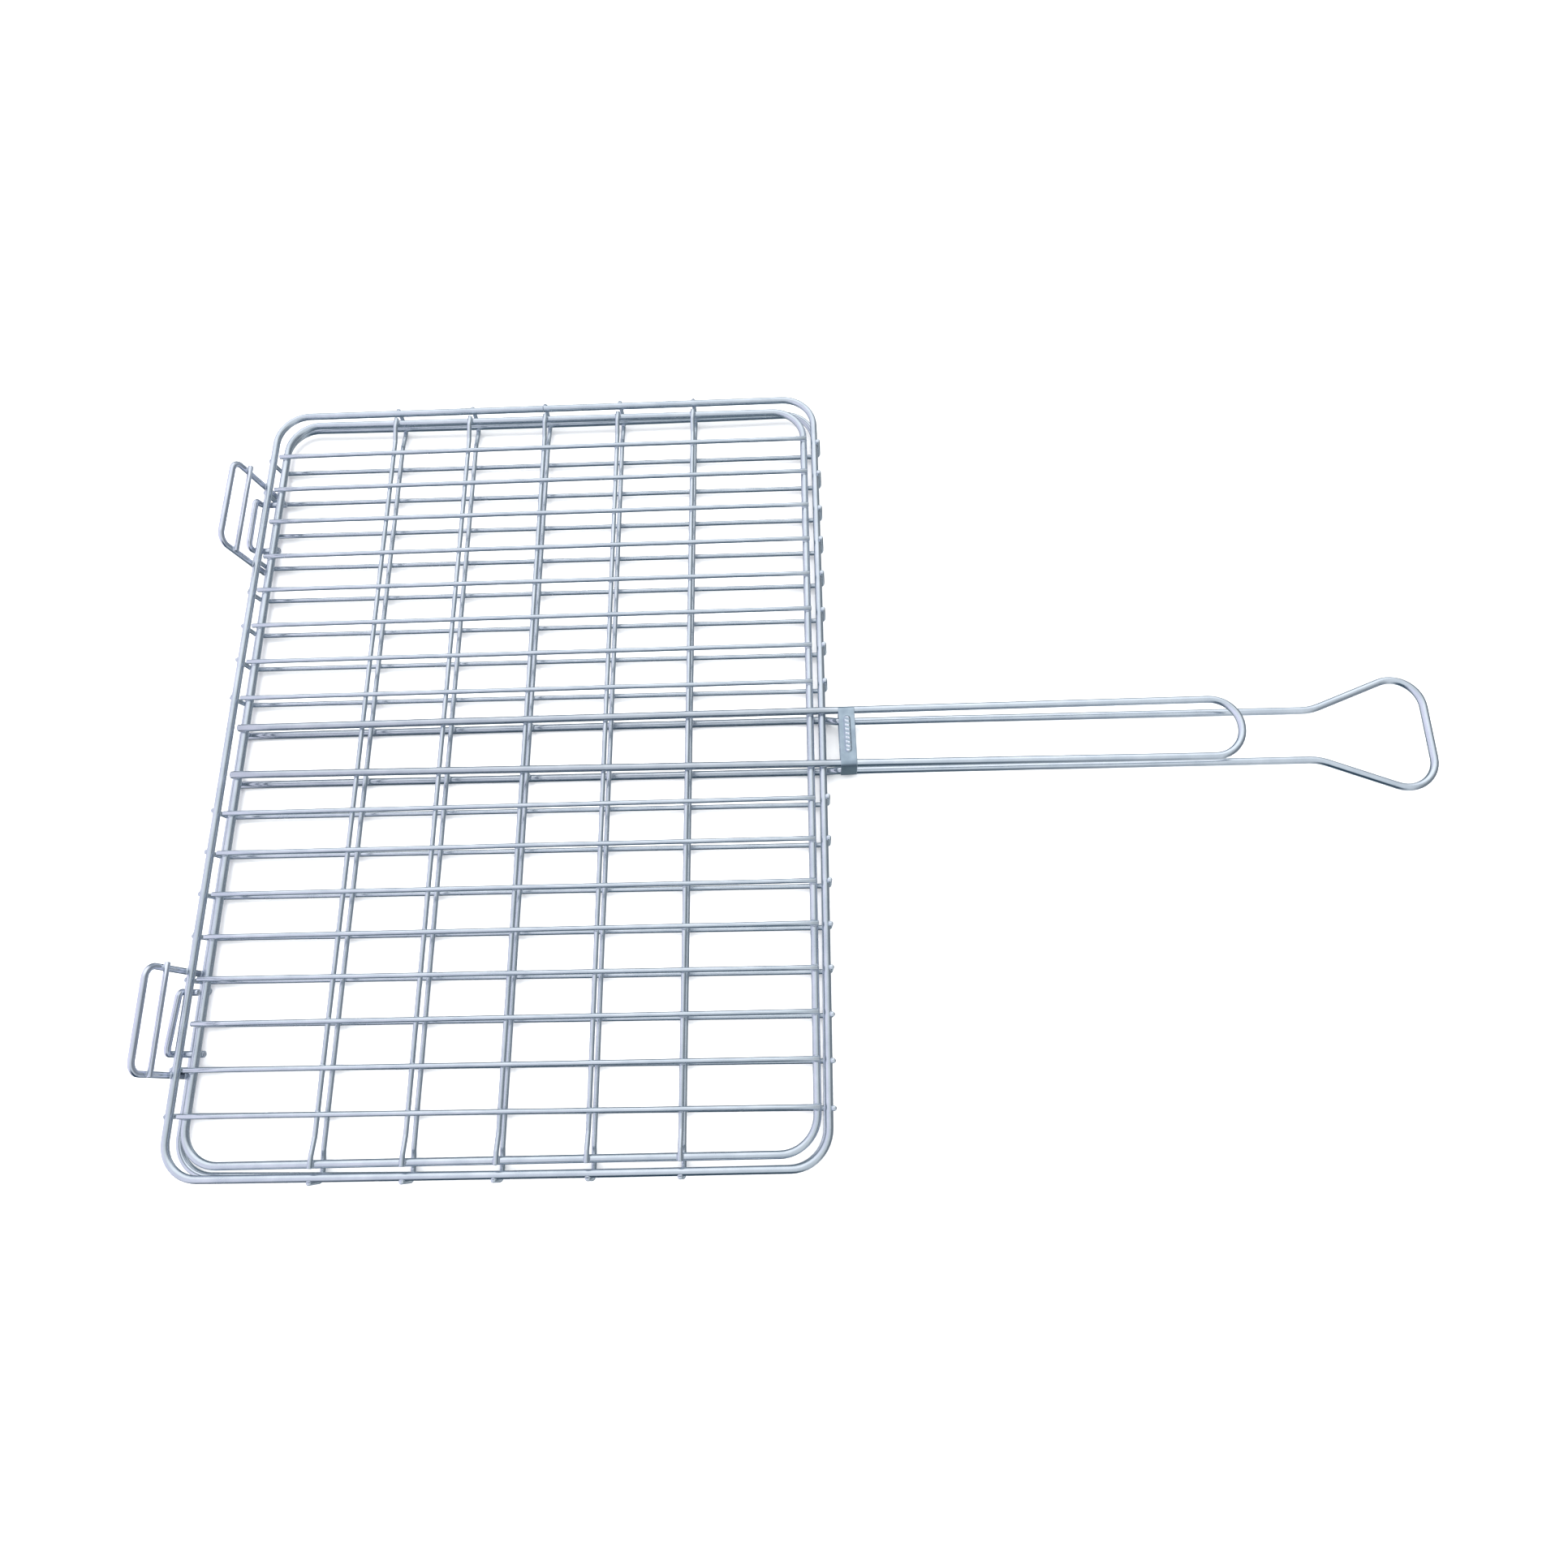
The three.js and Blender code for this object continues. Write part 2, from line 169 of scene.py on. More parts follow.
# Parts of the room in their own colour, each laid over those before it: the direction of
# its middle, the cosines of the angles where it begins and where it is full, its colour.
ROOM_PARTS = (
    ((-0.15, -0.97, -0.15), 0.7, 0.97, (0.02, 0.05, 0.08)),  # dark, at the near side
    ((1, 0, 0), 0.02, 0.6, (0.76, 0.80, 0.83)),  # pale, beyond the handles
    ((1, 0, -0.1), 0.4, 0.8, (0.24, 0.27, 0.29)),  # shade, low beyond the handles
    ((-0.95, 0, 0.3), 0.22, 0.85, (0.96, 0.95, 1.08)),  # faintly violet, beyond the hinge
    ((-0.1, 0.75, 0.65), 0.7, 0.95, (1.25, 1.28, 1.3)),  # window, high at the far side
)

random.seed(7)


# ---------------------------------------------------------------- places taken from the frame
def middle(node):
    low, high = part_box(node)
    return (low + high) / 2


def half_size(node):
    low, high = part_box(node)
    return (high - low) / 2


CAD_HANDLE = half_size("lid_handle").z
FINE = half_size("lid_bar_01").z * SLIMMER
RIM = half_size("lid_rim").z
HANDLE = CAD_HANDLE * SLIMMER
CROSSBAR = half_size("loop_crossbar_far").z
UPPER = middle("tray_upper_rim")
LOWER = middle("tray_lower_rim")
LID = middle("lid_rim")
UPPER_HALF = half_size("tray_upper_rim") - Vector((RIM, RIM, RIM))
LOWER_HALF = half_size("tray_lower_rim") - Vector((RIM, RIM, RIM))
LID_HALF = half_size("lid_rim") - Vector((RIM, RIM, RIM))
Z_TRAY_BAR = LOWER.z - RIM - FINE + SINK
Z_TRAY_CROSS = Z_TRAY_BAR + 2 * FINE - SINK
Z_LID_BAR = LID.z + RIM + FINE - SINK
Z_LID_CROSS = Z_LID_BAR - 2 * FINE + SINK
Z_LID_HANDLE = LID.z + RIM + HANDLE - SINK
Z_TRAY_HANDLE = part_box("tray_handle")[0].z + CAD_HANDLE
Z_TRAY_GRIP = Z_TRAY_HANDLE + JOGGLE_RISE
BARS = [f"{index:02d}" for index in range(1, 17)]
CROSS_WIRES = [f"{index:02d}" for index in range(1, 6)]
RIMS = {
    "tray_upper_rim": (UPPER, UPPER_HALF),
    "tray_lower_rim": (LOWER, LOWER_HALF),
    "lid_rim": (LID, LID_HALF),
}


def bow(node, side, share):
    """How far a rim's side bows outward, share being -1 at its start and 1 at its end."""
    start, halfway, end = RIM_BOWS[node][side]
    curve = halfway + (end - start) / 2 * share + ((start + end) / 2 - halfway) * share ** 2
    return curve * MM


def rim_x(node, side, y):
    """Centreline of a rim's front or back side at a place along it."""
    centre, half = RIMS[node]
    outward = half.x + bow(node, side, y / half.y)
    return centre.x + outward if side == "front" else centre.x - outward


def rim_y(node, side, x):
    """Centreline of a rim's near or far side at a place along it."""
    centre, half = RIMS[node]
    outward = half.y + bow(node, side, (x - centre.x) / half.x)
    return centre.y + outward if side == "far" else centre.y - outward


def outside_rims(upper, lower, z, radius, sink):
    """Where a wire that leans on the outside of both tray rims stands at height z."""
    lean = (upper - lower) / (UPPER.z - LOWER.z)
    outward = 1 if upper > 0 else -1
    clearance = (RIM + radius - sink) * math.hypot(1, lean)
    return upper + (z - UPPER.z) * lean + outward * clearance


# ---------------------------------------------------------------- wires
def bend(before, corner, after, radius):
    """The arc that rounds one corner of a wire."""
    inward = (corner - before).normalized()
    outward = (after - corner).normalized()
    turn = inward.angle(outward)
    axis = inward.cross(outward).normalized()
    start = corner - inward * radius * math.tan(turn / 2)
    centre = start + axis.cross(inward) * radius
    steps = max(3, math.ceil(turn / BEND_STEP))
    spokes = [Matrix.Rotation(turn * step / steps, 3, axis) for step in range(steps + 1)]
    return [centre + spoke @ (start - centre) for spoke in spokes]


def wire_path(corners, bends=()):
    """Points of a wire through these corners; bends holds the radius of each inner one."""
    points = [corners[0]]
    for index, radius in enumerate(bends):
        for place in bend(corners[index], corners[index + 1], corners[index + 2], radius):
            if (place - points[-1]).length > 0.02 * MM:
                points.append(place)
    points.append(corners[-1])
    return points


def wandering(points, amount=WANDER):
    """Adds places along the straight stretches, each a little off the line."""
    result = [points[0]]
    for start, end in zip(points, points[1:]):
        pieces = max(1, round((end - start).length / WANDER_STEP))
        for piece in range(1, pieces):
            place = start.lerp(end, piece / pieces)
            shift = Vector([random.uniform(-amount, amount) for _ in range(3)])
            result.append(place + shift)
        result.append(end)
    return smoothed(result)


def smoothed(points):
    """Rounds the small kinks between wandering places with one cut of each corner."""
    result = [points[0]]
    for before, place, after in zip(points, points[1:], points[2:]):
        if (place - before).length < WANDER_STEP / 3 or (after - place).length < WANDER_STEP / 3:
            result.append(place)
            continue
        result.append(place.lerp(before, KINK_CUT))
        result.append(place.lerp(after, KINK_CUT))
    result.append(points[-1])
    return result


def rim_path(node):
    """A closed rounded rectangle with bowed sides, without repeating its first point."""
    centre, half = RIMS[node]
    flat = []
    for quarter in range(4):
        sign_x = (1, -1, -1, 1)[quarter]
        sign_y = (1, 1, -1, -1)[quarter]
        corner = Vector((sign_x * (half.x - RIM_CORNER), sign_y * (half.y - RIM_CORNER)))
        for step in range(CORNER_STEPS + 1):
            angle = (quarter + step / CORNER_STEPS) * math.pi / 2
            flat.append(corner + RIM_CORNER * Vector((math.cos(angle), math.sin(angle))))
    points = []
    for index, here in enumerate(flat):
        ahead = flat[(index + 1) % len(flat)]
        pieces = BOW_STEPS if (ahead - here).length > 2 * RIM_CORNER else 1
        for piece in range(pieces):
            points.append(here.lerp(ahead, piece / pieces))
    return [bowed(node, centre, half, place) for place in points]


def bowed(node, centre, half, place):
    """Moves a place of a plain rounded rectangle by the bows of the rim's four sides."""
    share_x = place.x / half.x
    share_y = place.y / half.y
    front = bow(node, "front", share_y) * (1 + share_x) / 2
    back = bow(node, "back", share_y) * (1 - share_x) / 2
    far = bow(node, "far", share_x) * (1 + share_y) / 2
    near = bow(node, "near", share_x) * (1 - share_y) / 2
    return centre + Vector((place.x + front - back, place.y + far - near, 0))


# ---------------------------------------------------------------- meshes
class Piece:
    """The faces of one piece, gathered before they become a Blender mesh."""

    def __init__(self):
        self.places = []
        self.faces = []
        self.face_uvs = []
        self.face_materials = []

    def add_ring(self, ring):
        first = len(self.places)
        self.places.extend(ring)
        return list(range(first, first + len(ring)))

    def add_face(self, corners, uvs, material=0):
        self.faces.append(corners)
        self.face_uvs.append(uvs)
        self.face_materials.append(material)

    def join_rings(self, ring_a, ring_b, girth, along_a, along_b, material=0):
        """Quads between two rings. u runs round the ring and v along the wire, in metres."""
        count = len(ring_a)
        for side in range(count):
            turned = (side + 1) % count
            u_a = girth * side / count
            u_b = girth * (side + 1) / count
            self.add_face(
                [ring_a[side], ring_a[turned], ring_b[turned], ring_b[side]],
                [(u_a, along_a), (u_b, along_a), (u_b, along_b), (u_a, along_b)],
                material,
            )

    def close_ring(self, ring, flip, along, material=0):
        """A fan over an open ring."""
        centre = sum((self.places[index] for index in ring), Vector()) / len(ring)
        hub = self.add_ring([centre])[0]
        for side in range(len(ring)):
            pair = [ring[side], ring[(side + 1) % len(ring)]]
            if flip:
                pair.reverse()
            self.add_face([hub] + pair, [(0, along)] * 3, material)

    def make(self, name, materials):
        mesh = bpy.data.meshes.new(name)
        mesh.from_pydata(self.places, [], self.faces)
        layer = mesh.uv_layers.new(name="wire")
        corner = 0
        for uvs in self.face_uvs:
            for uv in uvs:
                layer.data[corner].uv = uv
                corner += 1
        mesh.polygons.foreach_set("material_index", self.face_materials)
        mesh.polygons.foreach_set("use_smooth", [True] * len(self.faces))
        for material in materials:
            mesh.materials.append(material)
        mesh.update()
        mesh.set_sharp_from_angle(angle=math.radians(50))
        piece = bpy.data.objects.new(name, mesh)
        bpy.context.scene.collection.objects.link(piece)
        return piece


def carried_frames(points, closed):
    """Tangent, side and up of the wire at each point, turned as little as possible."""
    count = len(points)
    tangents = []
    for index, place in enumerate(points):
        before = points[index - 1] if index or closed else place
        after = points[(index + 1) % count] if index < count - 1 or closed else place
        inward = (place - before).normalized()
        outward = (after - place).normalized()
        tangents.append((inward + outward).normalized())
    guide = Vector((0, 0, 1)) if abs(tangents[0].z) < 0.7 else Vector((0, 1, 0))
    side = tangents[0].cross(guide).normalized()
    frames = []
    for index, tangent in enumerate(tangents):
        if index:
            turn = tangents[index - 1].rotation_difference(tangent)
            side = turn @ side
        side = (side - tangent * side.dot(tangent)).normalized()
        frames.append((tangent, side, tangent.cross(side).normalized()))
    return frames


def circle(centre, side, up, radius):
    spokes = []
    for index in range(WIRE_SIDES):
        angle = 2 * math.pi * index / WIRE_SIDES
        spokes.append(centre + side * radius * math.cos(angle) + up * radius * math.sin(angle))
    return spokes


def add_wire(piece, points, radius, closed=False):
    """A round wire along the points; open ends are cut square, with a small chamfer."""
    girth = 2 * math.pi * radius
    frames = carried_frames(points, closed)
    rings = []
    lengths = []
    along = 0
    for index, (place, (tangent, side, up)) in enumerate(zip(points, frames)):
        if index:
            along += (place - points[index - 1]).length
        at_start = index == 0 and not closed
        at_end = index == len(points) - 1 and not closed
        if at_start:
            narrow = circle(place, side, up, radius - END_CHAMFER)
            rings.append(piece.add_ring(narrow))
            lengths.append(along)
            place = place + tangent * END_CHAMFER
        if at_end:
            place = place - tangent * END_CHAMFER
        rings.append(piece.add_ring(circle(place, side, up, radius)))
        lengths.append(along)
        if at_end:
            narrow = circle(points[index], side, up, radius - END_CHAMFER)
            rings.append(piece.add_ring(narrow))
            lengths.append(along + END_CHAMFER)
    for index in range(len(rings) - 1):
        piece.join_rings(rings[index], rings[index + 1], girth, lengths[index], lengths[index + 1])
    if closed:
        last = along + (points[0] - points[-1]).length
        piece.join_rings(rings[-1], rings[0], girth, along, last)
    else:
        piece.close_ring(rings[0], True, lengths[0])
        piece.close_ring(rings[-1], False, lengths[-1])


def add_weld(piece, centre, along, across, size, height=WELD_HEIGHT):
    """A lumpy, flattened bead of metal squeezed out where two wires are spot welded."""
    along = along.normalized()
    normal = along.cross(across).normalized()
    across = normal.cross(along)
    swell = [random.uniform(1 - WELD_UNEVEN, 1 + WELD_UNEVEN) for _ in range(WELD_COLUMNS)]
    rings = []
    for row in range(1, WELD_ROWS):
        latitude = math.pi * row / WELD_ROWS
        ring = []
        for column in range(WELD_COLUMNS):
            angle = 2 * math.pi * column / WELD_COLUMNS
            reach = size * swell[column] * math.sin(latitude)
            flat = along * math.cos(angle) + across * math.sin(angle)
            ring.append(centre + flat * reach - normal * size * height * math.cos(latitude))
        rings.append(piece.add_ring(ring))
    for ring_a, ring_b in zip(rings, rings[1:]):
        piece.join_rings(ring_a, ring_b, size * 6, 0, size, 1)
    piece.close_ring(rings[0], True, 0, 1)
    piece.close_ring(rings[-1], False, 0, 1)


# ---------------------------------------------------------------- materials
class Shader:
    """A material's node tree, with short calls for the nodes used here."""

    def __init__(self, name):
        self.material = bpy.data.materials.new(name)
        self.material.use_nodes = True
        self.nodes = self.material.node_tree.nodes
        self.links = self.material.node_tree.links
        self.surface = self.nodes["Principled BSDF"]

    def link(self, source, output, target, socket):
        self.links.new(source.outputs[output], target.inputs[socket])

    def noise(self, source, output, scale, detail, stretch=(1, 1, 1)):
        """Noise over the given coordinates, stretched by a mapping."""
        mapping = self.nodes.new("ShaderNodeMapping")
        mapping.inputs["Scale"].default_value = stretch
        self.link(source, output, mapping, "Vector")
        noise = self.nodes.new("ShaderNodeTexNoise")
        noise.inputs["Scale"].default_value = scale
        noise.inputs["Detail"].default_value = detail
        self.link(mapping, "Vector", noise, "Vector")
        return noise

    def ranged(self, source, output, low, high):
        """A value from 0.3..0.7 of the source, spread over low..high."""
        spread = self.nodes.new("ShaderNodeMapRange")
        spread.inputs["From Min"].default_value = 0.3
        spread.inputs["From Max"].default_value = 0.7
        spread.inputs["To Min"].default_value = low
        spread.inputs["To Max"].default_value = high
        self.link(source, output, spread, "Value")
        return spread

    def two_tones(self, source, output, dark, light):
        ramp = self.nodes.new("ShaderNodeValToRGB")
        ramp.color_ramp.elements[0].position = 0.3
        ramp.color_ramp.elements[0].color = (*dark, 1)
        ramp.color_ramp.elements[1].position = 0.7
        ramp.color_ramp.elements[1].color = (*light, 1)
        self.link(source, output, ramp, "Fac")
        self.link(ramp, "Color", self.surface, "Base Color")

    def dimmed(self, source, output):
        """Scales the base colour by a value."""
        scale = self.nodes.new("ShaderNodeVectorMath")
        scale.operation = "SCALE"
        color = self.surface.inputs["Base Color"].links[0].from_socket
        self.links.new(color, scale.inputs[0])
        self.link(source, output, scale, "Scale")
        self.link(scale, "Vector", self.surface, "Base Color")

    def bump(self, source, output, strength, depth, below=None):
        node = self.nodes.new("ShaderNodeBump")
        node.inputs["Strength"].default_value = strength
        node.inputs["Distance"].default_value = depth
        self.link(source, output, node, "Height")
        if below:
            self.link(below, "Normal", node, "Normal")
        return node


def plated_wire(name, dark, light, smooth, dull, grid_shade=1.0):
    """Bright plated steel wire: faint lines from drawing, cloudy plating, tiny dimples.

    Behind the tray's front rim, over the grid, the last argument scales its colour down, back to
    full at the band's far end: painted shade that stands in for the darker reflection there.
    """
    shader = Shader(name)
    wire_uv = shader.nodes.new("ShaderNodeUVMap")
    wire_uv.uv_map = "wire"
    place = shader.nodes.new("ShaderNodeTexCoord")
    drawn_lines = shader.noise(wire_uv, "UV", 1, 3, (5200, 90, 1))
    clouds = shader.noise(place, "Object", 70, 4)
    dimples = shader.noise(place, "Object", 1900, 2)
    shader.surface.inputs["Metallic"].default_value = 1
    shader.two_tones(clouds, "Fac", dark, light)
    axes = shader.nodes.new("ShaderNodeSeparateXYZ")
    shader.link(place, "Object", axes, "Vector")
    # Painted shade: the colour is dimmed over the grid and comes back to full towards the band's
    # far end.
    painted_grid_shade = shader.nodes.new("ShaderNodeMapRange")
    painted_grid_shade.inputs["From Min"].default_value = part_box("tray_upper_rim")[1].x
    painted_grid_shade.inputs["From Max"].default_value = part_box("sliding_band")[1].x
    painted_grid_shade.inputs["To Min"].default_value = grid_shade
    shader.link(axes, "X", painted_grid_shade, "Value")
    shader.dimmed(painted_grid_shade, "Result")
    roughness = shader.ranged(clouds, "Fac", dull, smooth)
    shader.link(roughness, "Result", shader.surface, "Roughness")
    lines = shader.bump(drawn_lines, "Fac", 0.25, 0.02 * MM)
    pits = shader.bump(dimples, "Fac", 0.12, 0.03 * MM, lines)
    shader.link(pits, "Normal", shader.surface, "Normal")
    return shader.material


def weld_metal():
    """Spot weld metal, plated with the rest, but duller and grainy."""
    shader = Shader("weld_metal")
    place = shader.nodes.new("ShaderNodeTexCoord")
    grain = shader.noise(place, "Object", 1400, 3)
    clouds = shader.noise(place, "Object", 260, 2)
    shader.surface.inputs["Metallic"].default_value = 1
    shader.two_tones(clouds, "Fac", (0.55, 0.61, 0.70), (0.76, 0.81, 0.88))
    roughness = shader.ranged(grain, "Fac", 0.3, 0.5)
    shader.link(roughness, "Result", shader.surface, "Roughness")
    bumps = shader.bump(grain, "Fac", 0.5, 0.1 * MM)
    shader.link(bumps, "Normal", shader.surface, "Normal")
    return shader.material


def band_sheet():
    """Satin plated sheet with faint lines from rolling, along the band's length."""
    shader = Shader("band_sheet")
    wire_uv = shader.nodes.new("ShaderNodeUVMap")
    wire_uv.uv_map = "wire"
    place = shader.nodes.new("ShaderNodeTexCoord")
    rolled_lines = shader.noise(wire_uv, "UV", 1, 3, (3600, 110, 1))
    clouds = shader.noise(place, "Object", 160, 4)
    shader.surface.inputs["Metallic"].default_value = 1
    shader.two_tones(clouds, "Fac", (0.34, 0.42, 0.50), (0.44, 0.53, 0.61))
    roughness = shader.ranged(clouds, "Fac", 0.42, 0.3)
    shader.link(roughness, "Result", shader.surface, "Roughness")
    bumps = shader.bump(rolled_lines, "Fac", 0.3, 0.03 * MM)
    shader.link(bumps, "Normal", shader.surface, "Normal")
    return shader.material


def crest_wear_and_highlight_sheet():
    """The crests of the band's ribs, brighter and smoother than the rest of the sheet: partly
    rubbed plating, partly a painted highlight.
    """
    shader = Shader("crest_wear_and_highlight_sheet")
    place = shader.nodes.new("ShaderNodeTexCoord")
    scratches = shader.noise(place, "Object", 900, 4, (1, 0.2, 1))
    shader.surface.inputs["Metallic"].default_value = 1
    shader.two_tones(scratches, "Fac", (0.58, 0.64, 0.74), (0.86, 0.90, 0.97))
    roughness = shader.ranged(scratches, "Fac", 0.3, 0.18)
    shader.link(roughness, "Result", shader.surface, "Roughness")
    return shader.material


weld = weld_metal()
fine_steel = plated_wire("fine_wire_steel", (0.58, 0.64, 0.71), (0.70, 0.75, 0.81), 0.18, 0.28)
rim_steel = plated_wire("rim_wire_steel", (0.58, 0.64, 0.71), (0.70, 0.75, 0.81), 0.18, 0.28)
hinge_steel = plated_wire("hinge_wire_steel", (0.65, 0.69, 0.79), (0.77, 0.80, 0.89), 0.16, 0.28)
# The handle's colour is 0.78 as bright over the grid: painted shade for the darker reflection
# there.
handle_steel = plated_wire(
    "handle_wire_steel", (0.65, 0.71, 0.79), (0.77, 0.82, 0.89), 0.14, 0.24, grid_shade=0.78,
)


# ---------------------------------------------------------------- pieces of wire
def contact(low_z, low_radius, high_z, high_radius):
    """Height of the weld between two wires, one above the other."""
    return (low_z + low_radius + high_z - high_radius) / 2


ALONG_X = Vector((1, 0, 0))
ALONG_Y = Vector((0, 1, 0))
UPRIGHT = Vector((0, 0, 1))
FINE_WELD = 1.35 * FINE
THICK_WELD = 1.6 * FINE


def finish_wire(piece, node, body, material):
    """Makes the piece that stands for a CAD node."""
    made = piece.make(node + "_wire", [material, weld])
    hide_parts(node)
    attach(made, body)


def off_line(amount):
    return random.uniform(-amount, amount)


# Nothing is welded quite where it was meant to be.
def place_of_lid_bar(bar):
    """The lid's outermost bars spread outward."""
    y = middle("lid_bar_" + bar).y
    return y + LID_BAR_SPREAD * (y / LID_HALF.y) ** 3 + off_line(LID_BAR_SLACK)


def place_of_tray_bar(bar):
    """The tray's bars stand further to the far side in the middle than at both ends."""
    y = middle("tray_bar_" + bar).y
    shift = TRAY_BAR_SHIFT - TRAY_BAR_CROWDING * abs(y) / UPPER_HALF.y
    return y + shift + off_line(TRAY_BAR_SLACK)


lid_bar_y = {bar: place_of_lid_bar(bar) for bar in BARS}
tray_bar_y = {bar: place_of_tray_bar(bar) for bar in BARS}
lid_cross_x = {
    wire: middle("lid_cross_wire_" + wire).x + shift * MM
    for wire, shift in zip(CROSS_WIRES, LID_CROSS_SHIFTS)
}
tray_cross_x = {
    wire: middle("tray_cross_wire_" + wire).x + shift * MM
    for wire, shift in zip(CROSS_WIRES, TRAY_CROSS_SHIFTS)
}


def build_rims():
    rims = [
        ("tray_upper_rim", "tray", "tray_wire"),
        ("tray_lower_rim", "tray", "tray_wire"),
        ("lid_rim", "lid", "lid_wire"),
    ]
    for node, body, slot in rims:
        piece = Piece()
        add_wire(piece, rim_path(node), RIM, closed=True)
        # The ring's two ends are butt welded near the middle of its far side.
        centre = RIMS[node][0]
        seam = Vector((centre.x, rim_y(node, "far", centre.x), centre.z))
        add_weld(piece, seam, UPRIGHT, ALONG_Y, RIM * 1.12, 0.3)
        finish_wire(piece, node, body, rim_steel)


def side_of_tray(side, y, z, radius, sink):
    """Where a wire outside the tray's front or back rims stands at height z."""
    upper = rim_x("tray_upper_rim", side, y)
    lower = rim_x("tray_lower_rim", side, y)
    return outside_rims(upper, lower, z, radius, sink)


def end_of_tray(side, x, z, radius, sink):
    """Where a wire outside the tray's near or far rims stands at height z."""
    upper = rim_y("tray_upper_rim", side, x)
    lower = rim_y("tray_lower_rim", side, x)
    return outside_rims(upper, lower, z, radius, sink)


def riser(side, y):
    """The two corners of a tray bar's bent-up end, from its tip down."""
    tip = UPPER.z + RISER_TIPS[side] + off_line(BAR_TIP_SLACK)
    high_x = side_of_tray(side, y, tip, FINE, RISER_SINK)
    low_x = side_of_tray(side, y, Z_TRAY_BAR, FINE, RISER_SINK)
    tip_y = y + off_line(BAR_LEAN_SLACK)
    return [Vector((high_x, tip_y, tip)), Vector((low_x, y, Z_TRAY_BAR))]


def build_tray_bars():
    for bar in BARS:
        node = "tray_bar_" + bar
        y = tray_bar_y[bar]
        front = riser("front", y)
        ends_under_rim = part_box(node)[0].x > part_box("tray_lower_rim")[0].x - RIM
        if ends_under_rim:
            back = [Vector((rim_x("tray_upper_rim", "back", y), y, Z_TRAY_BAR))]
        else:
            back = riser("back", y)
        corners = back + front[::-1]
        piece = Piece()
        path = wire_path(corners, [RISER_BEND] * (len(corners) - 2))
        add_wire(piece, wandering(path), FINE)
        weld_z = contact(Z_TRAY_BAR, FINE, Z_TRAY_CROSS, FINE)
        for x in tray_cross_x.values():
            add_weld(piece, Vector((x, y, weld_z)), ALONG_X, ALONG_Y, FINE_WELD)
        rim_z = contact(Z_TRAY_BAR, FINE, LOWER.z, RIM)
        for side in ("front", "back"):
            under = Vector((rim_x("tray_lower_rim", side, y), y, rim_z))
            add_weld(piece, under, ALONG_X, ALONG_Y, THICK_WELD)
            if side == "front" or not ends_under_rim:
                outward = (RIM - RISER_SINK / 2) * (1 if side == "front" else -1)
                beside = Vector((rim_x("tray_upper_rim", side, y) + outward, y, UPPER.z))
                add_weld(piece, beside, ALONG_Y, UPRIGHT, FINE_WELD)
        finish_wire(piece, node, "tray", fine_steel)


def build_tray_cross_wires():
    for wire in CROSS_WIRES:
        x = tray_cross_x[wire]
        halves = []
        for side, sign in (("far", 1), ("near", -1)):
            dip_y = rim_y("tray_lower_rim", side, x) - sign * 2 * RIM
            tip = UPPER.z + RISER_TIPS[side] + off_line(CROSS_TIP_SLACK)
            halves.append([
                Vector((x, end_of_tray(side, x, tip, FINE, RISER_SINK), tip)),
                Vector((x, end_of_tray(side, x, Z_TRAY_BAR, FINE, RISER_SINK), Z_TRAY_BAR)),
                Vector((x, dip_y, Z_TRAY_BAR)),
                Vector((x, dip_y - sign * DIP_LENGTH, Z_TRAY_CROSS)),
            ])
        half_bends = [RISER_BEND, DIP_BEND, DIP_BEND]
        piece = Piece()
        path = wire_path(halves[0] + halves[1][::-1], half_bends + half_bends[::-1])
        add_wire(piece, wandering(path), FINE)
        rim_z = contact(Z_TRAY_BAR, FINE, LOWER.z, RIM)
        for side, sign in (("far", 1), ("near", -1)):
            under = Vector((x, rim_y("tray_lower_rim", side, x), rim_z))
            add_weld(piece, under, ALONG_X, ALONG_Y, THICK_WELD)
            outward = sign * (RIM - RISER_SINK / 2)
            beside = Vector((x, rim_y("tray_upper_rim", side, x) + outward, UPPER.z))
            add_weld(piece, beside, UPRIGHT, ALONG_X, FINE_WELD)
        finish_wire(piece, "tray_cross_wire_" + wire, "tray", fine_steel)


def build_lid_bars():
    for bar in BARS:
        node = "lid_bar_" + bar
        y = lid_bar_y[bar]
        slant = LID_BAR_SLANT + off_line(LID_SLANT_SLACK)
        back_x = rim_x("lid_rim", "back", y) - LID_BACK_OVERHANG + off_line(LID_END_SLACK)
        front_x = rim_x("lid_rim", "front", y) + LID_OVERHANG + off_line(LID_END_SLACK)
        ends = [Vector((back_x, y - slant, Z_LID_BAR)), Vector((front_x, y + slant, Z_LID_BAR))]
        piece = Piece()
        add_wire(piece, wandering(ends), FINE)
        weld_z = contact(Z_LID_CROSS, FINE, Z_LID_BAR, FINE)
        for x in lid_cross_x.values():
            add_weld(piece, Vector((x, y, weld_z)), ALONG_X, ALONG_Y, FINE_WELD)
        rim_z = contact(LID.z, RIM, Z_LID_BAR, FINE)
        for side, across in (("back", -slant), ("front", slant)):
            above = Vector((rim_x("lid_rim", side, y), y + across, rim_z))
            add_weld(piece, above, ALONG_X, ALONG_Y, THICK_WELD)
        finish_wire(piece, node, "lid", fine_steel)


